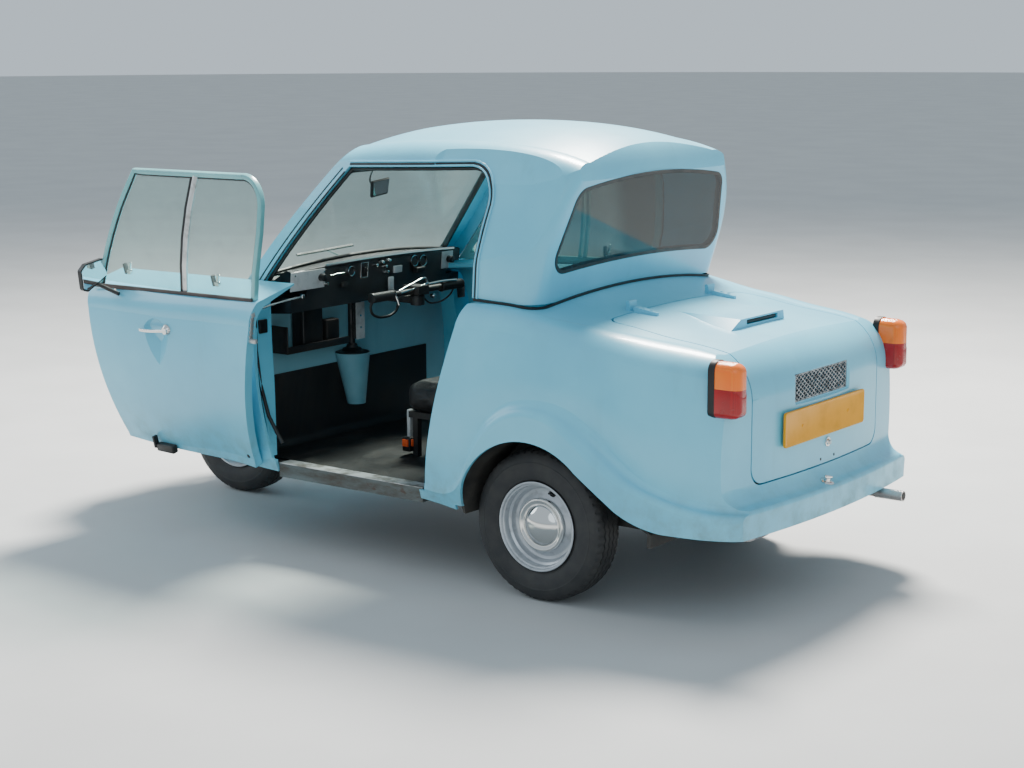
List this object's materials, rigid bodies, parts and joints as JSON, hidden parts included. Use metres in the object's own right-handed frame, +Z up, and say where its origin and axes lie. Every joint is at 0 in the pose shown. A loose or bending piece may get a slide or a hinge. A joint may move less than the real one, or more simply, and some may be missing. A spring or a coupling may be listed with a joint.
{
  "type": "three wheeled microcar",
  "caption": "Small single seat three wheeled car with a glass fibre body, tiller steering, a lifting engine cover at the tail and an opening door on each side.",
  "frame": {"origin": "on the ground under the middle of the whole car's box, with the left door open as it stands", "axes": "+X to the nose, +Y to the car's left, +Z up"},
  "size_m": [3.003, 1.4998, 1.4912],
  "materials": {
    "body_paint": "gloss paint on glass fibre, weathered",
    "frame_paint": "gloss paint on steel",
    "chassis_black": "satin black",
    "engine_grey": "cast, oily",
    "seal_rubber": "matt",
    "tyre": "matt",
    "rim_silver": "silver paint",
    "chrome": "polished",
    "glass": "clear",
    "lamp_glass": "ribbed clear lens",
    "amber_red_lens": "moulded lens",
    "amber_lens": "moulded lens",
    "aluminium": "worn, plain",
    "black_trim": "matt grained",
    "black_vinyl": "soft vinyl cloth",
    "plate_yellow": "plain blank plate",
    "exhaust_steel": "rusty"
  },
  "bodies": {
    "body": {"rear_body": "body_paint", "nose_body": "body_paint", "cab_shell": "body_paint", "left_door_skin": "body_paint", "right_door_skin": "body_paint", "left_door_frame": "frame_paint", "right_door_frame": "frame_paint", "left_door_glass": "glass", "right_door_glass": "glass", "screen_glass": "glass", "screen_seals": "seal_rubber", "waist_bead": "seal_rubber", "sills": "aluminium", "floor_pan": "black_trim", "front_bulkhead": "black_trim", "rear_bulkhead": "black_trim", "wheel_wells": "black_trim", "chassis_frame": "chassis_black", "trailing_arms": "chassis_black", "steering_head": "chassis_black", "steering_cone": "black_trim", "dashboard": "black_trim", "seat_base": "black_vinyl", "seat_back": "black_vinyl", "seat_frame": "chassis_black", "engine_block": "engine_grey", "exhaust": "exhaust_steel", "tail_lamps": "amber_red_lens", "head_lamps": "lamp_glass", "front_indicators": "amber_lens", "hinge_knuckles": "chassis_black", "door_mirror": "black_trim"},
    "left_rear_wheel": {"left_rear_tyre": "tyre", "left_rear_rim": "rim_silver", "left_rear_hub_cap": "chrome"},
    "right_rear_wheel": {"right_rear_tyre": "tyre", "right_rear_rim": "rim_silver", "right_rear_hub_cap": "chrome"},
    "front_wheel": {"front_tyre": "tyre", "front_rim": "rim_silver"},
    "fork": {"front_fork": "chassis_black"},
    "tiller": {"tiller": "black_trim"},
    "engine_cover": {"engine_cover": "body_paint", "cover_grille": "aluminium", "number_plate": "plate_yellow"}
  },
  "joints": [
    {"name": "left_rear_spin", "type": "hinge", "parent": "body", "child": "left_rear_wheel", "pos_m": [-0.6825, 0.437, 0.247], "axis": [0, 1, 0], "continuous": true},
    {"name": "right_rear_spin", "type": "hinge", "parent": "body", "child": "right_rear_wheel", "pos_m": [-0.6825, -0.607, 0.247], "axis": [0, 1, 0], "continuous": true},
    {"name": "steering", "type": "hinge", "parent": "body", "child": "fork", "pos_m": [1.1575, -0.085, 0.25], "axis": [-0.2311, 0, 0.9729], "range_deg": [-38, 38]},
    {"name": "front_spin", "type": "hinge", "parent": "fork", "child": "front_wheel", "pos_m": [1.1675, -0.085, 0.247], "axis": [0, 1, 0], "continuous": true},
    {"name": "tiller_turn", "type": "hinge", "parent": "body", "child": "tiller", "pos_m": [0.2795, -0.085, 0.862], "axis": [0, 0, 1], "range_deg": [-38, 38]},
    {"name": "cover_lift", "type": "hinge", "parent": "body", "child": "engine_cover", "pos_m": [-0.8105, -0.085, 0.938], "axis": [0, 1, 0], "range_deg": [0, 65]}
  ],
  "couplings": [
    {"joint": "tiller_turn", "follows": "steering", "ratio": 1}
  ]
}
